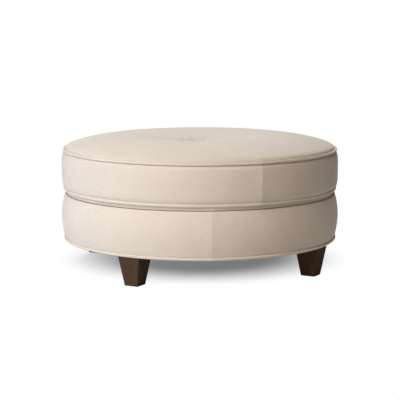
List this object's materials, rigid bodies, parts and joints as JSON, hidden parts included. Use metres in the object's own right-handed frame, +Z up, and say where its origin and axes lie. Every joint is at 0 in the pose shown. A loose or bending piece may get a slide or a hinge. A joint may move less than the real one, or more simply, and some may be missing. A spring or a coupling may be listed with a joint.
{
  "type": "ottoman coffee table",
  "caption": "Round upholstered ottoman coffee table: swelled base band, attached welted cushion with a button-tufted crown, square tapered block legs",
  "frame": {"origin": "on the floor, under the middle of the round drum", "axes": "+Z up; the legs stand on the X and Y axes, -Y is the leg nearest the viewer's left in the picture"},
  "size_m": [0.9634, 0.9634, 0.4573],
  "materials": {
    "linen": "plain-woven linen-look upholstery cloth with slubs, oatmeal",
    "espresso_wood": "stained and satin-lacquered hardwood, espresso",
    "plywood": "sawn plywood, unfinished",
    "softwood": "planed softwood, unfinished",
    "hardboard": "pressed fibre board, smooth one side",
    "dust_cloth": "black spun-bonded dust cloth",
    "foam": "open-cell polyurethane foam",
    "twine": "waxed tufting twine",
    "nylon": "moulded nylon, brown",
    "zinc_steel": "zinc-plated steel"
  },
  "bodies": {
    "root": {"leg_1": "espresso_wood", "leg_2": "espresso_wood", "leg_3": "espresso_wood", "leg_4": "espresso_wood", "glides": "nylon", "hanger_bolts": "zinc_steel", "leg_nuts": "zinc_steel", "leg_block_1": "softwood", "leg_block_2": "softwood", "leg_block_3": "softwood", "leg_block_4": "softwood", "post_1": "softwood", "post_2": "softwood", "post_3": "softwood", "post_4": "softwood", "post_5": "softwood", "post_6": "softwood", "post_7": "softwood", "post_8": "softwood", "bottom_ring": "plywood", "top_ring": "plywood", "seat_screws": "zinc_steel", "drum_wall": "hardboard", "dust_cover": "dust_cloth", "base_cover": "linen", "base_bottom_welt": "linen", "base_top_welt": "linen", "seat_board": "plywood", "cushion_core": "foam", "cushion_band": "linen", "cushion_top": "linen", "cushion_bottom_welt": "linen", "cushion_top_welt": "linen", "button": "linen", "button_shank": "zinc_steel", "tuft_twine": "twine", "tuft_toggle": "softwood"}
  },
  "joints": []
}
